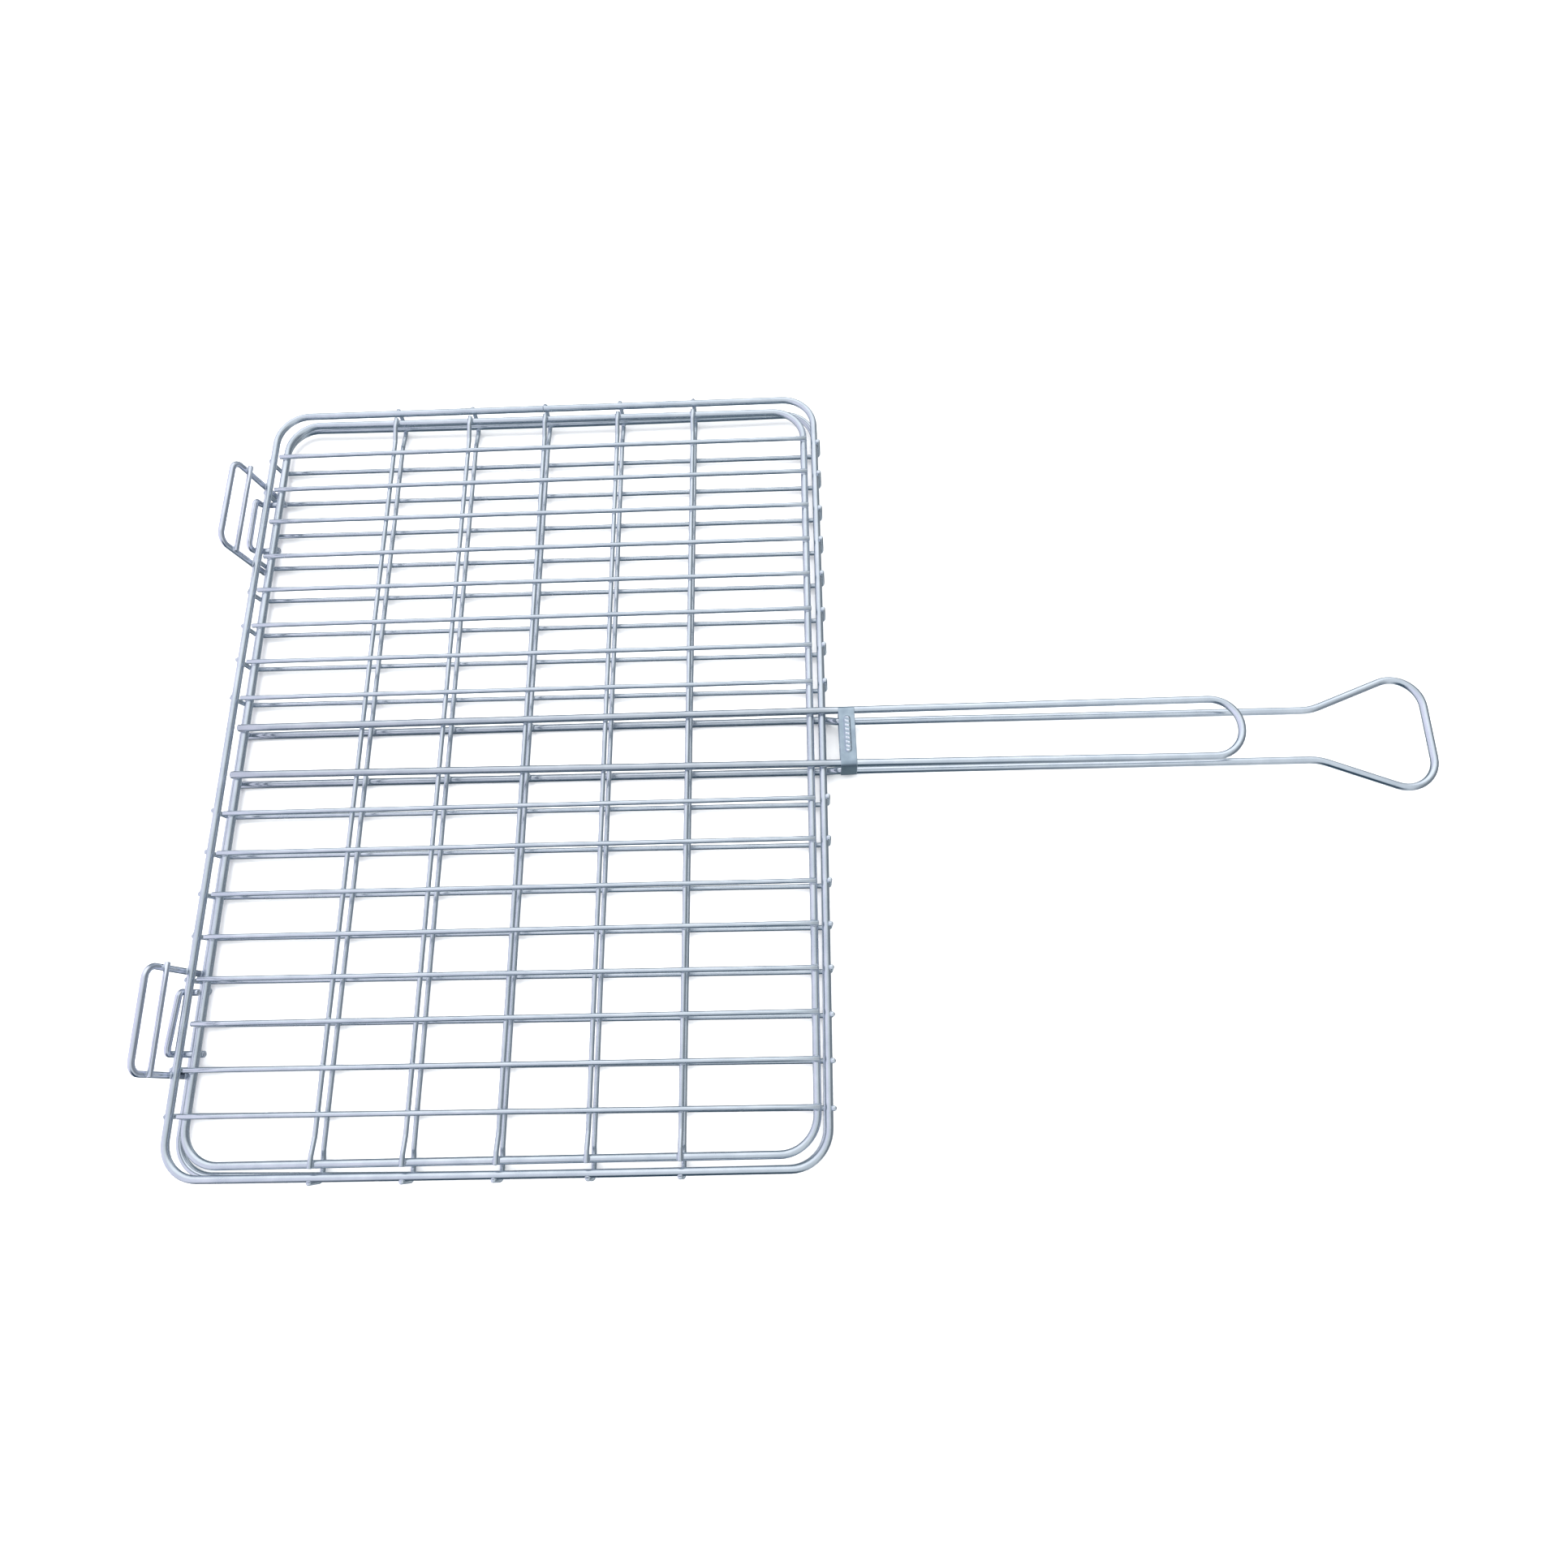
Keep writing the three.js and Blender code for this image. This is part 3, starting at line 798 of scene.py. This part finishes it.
def build_lid_cross_wires():
    for wire in CROSS_WIRES:
        x = lid_cross_x[wire]
        halves = []
        for side, sign in (("far", 1), ("near", -1)):
            y = rim_y("lid_rim", side, x)
            high_y = y - sign * 2 * RIM
            halves.append([
                Vector((x, y + sign * LID_OVERHANG, Z_LID_BAR)),
                Vector((x, high_y, Z_LID_BAR)),
                Vector((x, high_y - sign * DIP_LENGTH, Z_LID_CROSS)),
            ])
        piece = Piece()
        path = wire_path(halves[0] + halves[1][::-1], [DIP_BEND] * 4)
        add_wire(piece, wandering(path), FINE)
        rim_z = contact(LID.z, RIM, Z_LID_BAR, FINE)
        for side in ("far", "near"):
            above = Vector((x, rim_y("lid_rim", side, x), rim_z))
            add_weld(piece, above, ALONG_X, ALONG_Y, THICK_WELD)
        finish_wire(piece, "lid_cross_wire_" + wire, "lid", fine_steel)


def add_handle_welds(piece, start, end, places_x, rim, weld_z, rim_z):
    """Welds under or over the straight part of a handle's wire, from start to end."""
    def beside(x):
        return start.lerp(end, (x - start.x) / (end.x - start.x)).y

    for x in places_x:
        add_weld(piece, Vector((x, beside(x), weld_z)), ALONG_X, ALONG_Y, THICK_WELD)
    for side in ("front", "back"):
        x = rim_x(rim, side, start.y)
        add_weld(piece, Vector((x, beside(x), rim_z)), ALONG_X, ALONG_Y, 1.1 * THICK_WELD)


def build_lid_handle():
    low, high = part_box("lid_handle")
    end_x = high.x - CAD_HANDLE
    halves = []
    for back_y, end_y in zip(LID_HANDLE_BACK_Y, LID_HANDLE_END_Y):
        halves.append([
            Vector((low.x, back_y, Z_LID_HANDLE)),
            Vector((end_x, end_y, Z_LID_HANDLE)),
        ])
    end_radius = (LID_HANDLE_END_Y[0] - LID_HANDLE_END_Y[1]) / 2 * 0.97
    piece = Piece()
    path = wire_path(halves[0] + halves[1][::-1], [end_radius] * 2)
    add_wire(piece, wandering(path), HANDLE)
    weld_z = contact(Z_LID_CROSS, FINE, Z_LID_HANDLE, HANDLE)
    rim_z = contact(LID.z, RIM, Z_LID_HANDLE, HANDLE)
    for start, end in halves:
        add_handle_welds(piece, start, end, lid_cross_x.values(), "lid_rim", weld_z, rim_z)
    finish_wire(piece, "lid_handle", "lid", handle_steel)


def build_tray_handle():
    low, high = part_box("tray_handle")
    joggle_x = UPPER.x + UPPER_HALF.x + JOGGLE_AFTER_RIM
    end_x = high.x - CAD_HANDLE
    halves = []
    for back_y, front_y, sign in zip(TRAY_HANDLE_BACK_Y, TRAY_HANDLE_FRONT_Y, (1, -1)):
        grip_y = sign * TRAY_GRIP_HALF_Y
        halves.append([
            Vector((low.x, back_y, Z_TRAY_HANDLE)),
            Vector((joggle_x, front_y, Z_TRAY_HANDLE)),
            Vector((joggle_x + JOGGLE_LENGTH, grip_y, Z_TRAY_GRIP)),
            Vector((end_x - FLARE_LENGTH, grip_y, Z_TRAY_GRIP)),
            Vector((end_x, sign * FLARE_HALF_Y, Z_TRAY_GRIP)),
        ])
    half_bends = [JOGGLE_BEND, JOGGLE_BEND, FLARE_BEND, FLARE_CORNER]
    piece = Piece()
    path = wire_path(halves[0] + halves[1][::-1], half_bends + half_bends[::-1])
    add_wire(piece, wandering(path), HANDLE)
    weld_z = contact(Z_TRAY_HANDLE, HANDLE, Z_TRAY_CROSS, FINE)
    rim_z = contact(Z_TRAY_HANDLE, HANDLE, LOWER.z, RIM)
    for half in halves:
        places_x = tray_cross_x.values()
        add_handle_welds(piece, half[0], half[1], places_x, "tray_lower_rim", weld_z, rim_z)
    finish_wire(piece, "tray_handle", "tray", handle_steel)


def build_hinge_loops():
    for side in ("far", "near"):
        low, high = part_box("hinge_loop_" + side)
        bar_low, bar_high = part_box("loop_crossbar_" + side)
        foot_z = low.z + LOOP_FOOT_CUT
        top_z = high.z - HINGE
        bar_z = (bar_low.z + bar_high.z) / 2
        first_y = high.y - HINGE
        last_y = low.y + HINGE
        loop = Piece()
        path = wire_path([
            Vector((side_of_tray("back", first_y, foot_z, HINGE, SINK), first_y, foot_z)),
            Vector((side_of_tray("back", first_y, top_z, HINGE, SINK), first_y, top_z)),
            Vector((side_of_tray("back", last_y, top_z, HINGE, SINK), last_y, top_z)),
            Vector((side_of_tray("back", last_y, foot_z, HINGE, SINK), last_y, foot_z)),
        ], [LOOP_CORNER, LOOP_CORNER])
        add_wire(loop, path, HINGE)
        for y in (first_y, last_y):
            for rim, rim_z in (("tray_upper_rim", UPPER.z), ("tray_lower_rim", LOWER.z)):
                beside = Vector((rim_x(rim, "back", y) - RIM + SINK / 2, y, rim_z))
                add_weld(loop, beside, ALONG_Y, UPRIGHT, THICK_WELD)
        finish_wire(loop, "hinge_loop_" + side, "tray", hinge_steel)

        crossbar = Piece()
        leg_to_bar = HINGE + CROSSBAR - SINK
        first_x = side_of_tray("back", first_y, bar_z, HINGE, SINK) + leg_to_bar
        last_x = side_of_tray("back", last_y, bar_z, HINGE, SINK) + leg_to_bar
        first = Vector((first_x, first_y, bar_z))
        last = Vector((last_x, last_y, bar_z))
        along = (last - first).normalized()
        overhang = bar_high.y - first_y
        far_end = first - along * overhang
        near_end = last + along * (overhang - CROSSBAR_NEAR_SHORT)
        add_wire(crossbar, wandering([far_end, near_end]), CROSSBAR)
        for place in (first, last):
            beside = place - ALONG_X * (CROSSBAR - SINK / 2)
            add_weld(crossbar, beside, ALONG_Y, UPRIGHT, FINE_WELD)
        finish_wire(crossbar, "loop_crossbar_" + side, "tray", hinge_steel)


def build_hooks():
    for side in ("far", "near"):
        node = "lid_hook_" + side
        low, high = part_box(node)
        leg_z = low.z + HINGE
        top_z = high.z - HINGE
        end_x = low.x + HINGE
        skew = NEAR_HOOK_SKEW if side == "near" else 0
        short = NEAR_HOOK_SHORT_LEG if side == "near" else 0
        first_y = high.y - HINGE
        last_y = low.y + HINGE
        hook = Piece()
        path = wire_path([
            Vector((high.x - short, first_y, leg_z)),
            Vector((end_x + skew, first_y, leg_z)),
            Vector((end_x + skew, first_y, top_z)),
            Vector((end_x - skew, last_y, top_z)),
            Vector((end_x - skew, last_y, leg_z)),
            Vector((high.x, last_y, leg_z)),
        ], [HOOK_CORNER] * 4)
        add_wire(hook, path, HINGE)
        weld_z = contact(leg_z, HINGE, LID.z, RIM)
        for y in (first_y, last_y):
            under = Vector((rim_x("lid_rim", "back", y), y, weld_z))
            add_weld(hook, under, ALONG_X, ALONG_Y, THICK_WELD)
        finish_wire(hook, node, "lid", hinge_steel)


# ---------------------------------------------------------------- band
def band_stations(half_y, bottom_z, top_z):
    """Places and outward directions round the band's middle line, from seam to seam."""
    stations = []

    def straight(start, end, outward, step):
        pieces = max(1, math.ceil((end - start).length / step))
        for piece in range(pieces + 1):
            stations.append((start.lerp(end, piece / pieces), outward))

    def quarter(centre, first_angle):
        for step in range(1, BAND_CORNER_STEPS):
            angle = first_angle + step / BAND_CORNER_STEPS * math.pi / 2
            outward = Vector((0, math.cos(angle), math.sin(angle)))
            stations.append((centre + outward * BAND_CORNER, outward))

    low_z = bottom_z + BAND_CORNER
    high_z = top_z - BAND_CORNER
    side_y = half_y - BAND_CORNER
    straight(
        Vector((0, BAND_SEAM / 2, bottom_z)), Vector((0, side_y, bottom_z)),
        Vector((0, 0, -1)), LONG_STEP,
    )
    quarter(Vector((0, side_y, low_z)), -math.pi / 2)
    straight(
        Vector((0, half_y, low_z)), Vector((0, half_y, high_z)), Vector((0, 1, 0)), LONG_STEP,
    )
    quarter(Vector((0, side_y, high_z)), 0)
    straight(
        Vector((0, side_y, top_z)), Vector((0, -side_y, top_z)), Vector((0, 0, 1)), FINE_STEP,
    )
    quarter(Vector((0, -side_y, high_z)), math.pi / 2)
    straight(
        Vector((0, -half_y, high_z)), Vector((0, -half_y, low_z)), Vector((0, -1, 0)), LONG_STEP,
    )
    quarter(Vector((0, -side_y, low_z)), math.pi)
    straight(
        Vector((0, -side_y, bottom_z)), Vector((0, -BAND_SEAM / 2, bottom_z)),
        Vector((0, 0, -1)), LONG_STEP,
    )
    return stations


def smooth_step(value):
    value = min(1, max(0, value))
    return value * value * (3 - 2 * value)


def raised_strip(y, across):
    """Height of the band's plain raised strip, with slanted grip ribs along it."""
    y -= STRIP_SHIFT_Y
    run = max(0, abs(y) - (STRIP_LENGTH - STRIP_WIDTH) / 2)
    inside = STRIP_WIDTH / 2 - math.hypot(run, across)
    height = STRIP_HEIGHT * smooth_step(inside / STRIP_EDGE)
    wave = 0.5 + 0.5 * math.cos(2 * math.pi * (y + RIB_SLANT * across) / RIB_PITCH)
    return height + RIB_HEIGHT * wave ** 2 * smooth_step((inside - STRIP_EDGE) / STRIP_EDGE)


def band_profile(half_width):
    """Section of the sheet: (place across the band, place through the sheet, on the face)."""
    half_sheet = BAND_SHEET / 2
    flat = half_width - BAND_EDGE
    profile = []
    for step in range(FACE_STEPS + 1):
        profile.append((-flat + 2 * flat * step / FACE_STEPS, half_sheet, True))
    for angle in (math.pi / 4, 0):
        profile.append((
            flat + BAND_EDGE * math.cos(angle),
            half_sheet - BAND_EDGE + BAND_EDGE * math.sin(angle),
            False,
        ))
    lower = [(across, -through, False) for across, through, _ in reversed(profile[-2:])]
    profile.extend(lower)
    profile.extend([(flat, -half_sheet, False), (-flat, -half_sheet, False)])
    edge = [(-across, through, False) for across, through, _ in reversed(profile[-6:-2])]
    profile.extend(edge)
    return profile


def build_band():
    low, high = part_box("sliding_band")
    half_width = (high.x - low.x) / 2
    around = HANDLE + BAND_CLEARANCE + BAND_SHEET / 2
    top_z = Z_LID_HANDLE + around
    bottom_z = Z_TRAY_GRIP - around
    half_y = TRAY_GRIP_HALF_Y + around
    centre = Vector(((low.x + high.x) / 2, 0, 0))
    yaw = Matrix.Rotation(BAND_YAW, 3, "Z")
    profile = band_profile(half_width)
    piece = Piece()
    rings = []
    lifts = []
    lengths = []
    along = 0
    before = None
    for place, outward in band_stations(half_y, bottom_z, top_z):
        share = (place.z - bottom_z) / (top_z - bottom_z)
        place.y *= 1 + BAND_TOP_SPREAD * share
        place.y += BAND_TOP_SHIFT * share
        ring = []
        lifts.append([])
        for across, through, on_face in profile:
            lift = raised_strip(place.y, across) if on_face and outward.z > 0.99 else 0
            lifts[-1].append(lift)
            ring.append(centre + yaw @ (place + ALONG_X * across + outward * (through + lift)))
        if before is not None:
            along += (place - before).length
        before = place
        rings.append(piece.add_ring(ring))
        lengths.append(along)
    girth = 2 * (2 * half_width + BAND_SHEET)
    for index in range(len(rings) - 1):
        first_face = len(piece.faces)
        piece.join_rings(rings[index], rings[index + 1], girth, lengths[index], lengths[index + 1])
        for side, lift in enumerate(lifts[index]):
            # High crest faces get the brighter sheet: partly rubbed plating, partly a painted
            # highlight.
            if lift > WEAR_AND_HIGHLIGHT_LIFT:
                piece.face_materials[first_face + side] = 1
    piece.close_ring(rings[0], True, 0)
    piece.close_ring(rings[-1], False, along)
    made = piece.make("sliding_band_sheet", [band_sheet(), crest_wear_and_highlight_sheet()])
    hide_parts("sliding_band")
    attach(made, "band")


# ---------------------------------------------------------------- floor, light and camera
def build_floor():
    half = 60
    mesh = bpy.data.meshes.new("floor")
    corners = [(-half, -half, 0), (half, -half, 0), (half, half, 0), (-half, half, 0)]
    mesh.from_pydata(corners, [], [[0, 1, 2, 3]])
    shader = Shader("pale_floor")
    shader.surface.inputs["Base Color"].default_value = (0.93, 0.93, 0.93, 1)
    shader.surface.inputs["Roughness"].default_value = 0.9
    shader.surface.inputs["Specular IOR Level"].default_value = 0.1
    mesh.materials.append(shader.material)
    floor = bpy.data.objects.new("floor", mesh)
    floor.visible_glossy = False
    bpy.context.scene.collection.objects.link(floor)


def build_sky():
    """A pale room that gets darker towards the floor, with a few parts in other colours."""
    world = bpy.data.worlds.new("studio")
    bpy.context.scene.world = world
    world.use_nodes = True
    nodes, links = world.node_tree.nodes, world.node_tree.links
    background = nodes["Background"]
    place = nodes.new("ShaderNodeTexCoord")

    def towards(direction):
        dot = nodes.new("ShaderNodeVectorMath")
        dot.operation = "DOT_PRODUCT"
        dot.inputs[1].default_value = Vector(direction).normalized()
        links.new(place.outputs["Generated"], dot.inputs[0])
        return dot

    def lobe(direction, start, end):
        """A value that grows from 0 to 1 towards a direction."""
        spread = nodes.new("ShaderNodeMapRange")
        spread.interpolation_type = "SMOOTHSTEP"
        spread.inputs["From Min"].default_value = start
        spread.inputs["From Max"].default_value = end
        links.new(towards(direction).outputs["Value"], spread.inputs["Value"])
        return spread.outputs["Result"]

    def mixed(factor, below, color):
        mix = nodes.new("ShaderNodeMix")
        mix.data_type = "RGBA"
        links.new(factor, mix.inputs["Factor"])
        links.new(below, mix.inputs[6])
        mix.inputs[7].default_value = (*color, 1)
        return mix.outputs[2]

    heights = nodes.new("ShaderNodeMapRange")
    heights.inputs["From Min"].default_value = -1
    links.new(towards((0, 0, 1)).outputs["Value"], heights.inputs["Value"])
    room = nodes.new("ShaderNodeValToRGB")
    stops = room.color_ramp.elements
    stops[0].position, stops[0].color = 0.44, (*LOW_LIGHT, 1)
    stops[1].position, stops[1].color = 1.0, (*TOP_LIGHT, 1)
    middle_stop = stops.new(0.68)
    middle_stop.color = (*SIDE_LIGHT, 1)
    links.new(heights.outputs["Result"], room.inputs["Fac"])
    layered = room.outputs["Color"]
    for direction, start, end, color in ROOM_PARTS:
        layered = mixed(lobe(direction, start, end), layered, color)
    seen = nodes.new("ShaderNodeLightPath")
    backdrop = mixed(seen.outputs["Is Camera Ray"], layered, BACKDROP)
    links.new(backdrop, background.inputs["Color"])


def add_softbox(name, place, size, power):
    """A round lamp that lights the floor but is left out of the wires' reflections."""
    light = bpy.data.lights.new(name, "AREA")
    light.shape = "DISK"
    light.size = size
    light.energy = power
    lamp = bpy.data.objects.new(name, light)
    lamp.location = place
    lamp.rotation_euler = (-Vector(place)).to_track_quat("-Z", "Y").to_euler()
    lamp.visible_glossy = False
    bpy.context.scene.collection.objects.link(lamp)


def build_camera():
    camera = bpy.data.cameras.new("camera")
    camera.lens = CAMERA_LENS
    camera.sensor_width = 36
    camera.clip_start = 0.01
    eye = bpy.data.objects.new("camera", camera)
    turn = (
        Matrix.Rotation(CAMERA_TILT, 4, "X")
        @ Matrix.Rotation(CAMERA_LEAN, 4, "Y")
        @ Matrix.Rotation(CAMERA_ROLL, 4, "Z")
    )
    eye.matrix_world = Matrix.Translation(CAMERA_PLACE) @ turn
    bpy.context.scene.collection.objects.link(eye)
    bpy.context.scene.camera = eye


build_camera()
build_floor()
build_sky()
add_softbox("overhead", OVERHEAD_PLACE, OVERHEAD_SIZE, OVERHEAD_POWER)
bpy.context.scene.view_settings.view_transform = "Standard"

build_rims()
build_tray_bars()
build_tray_cross_wires()
build_tray_handle()
build_hinge_loops()
build_lid_bars()
build_lid_cross_wires()
build_lid_handle()
build_hooks()
build_band()
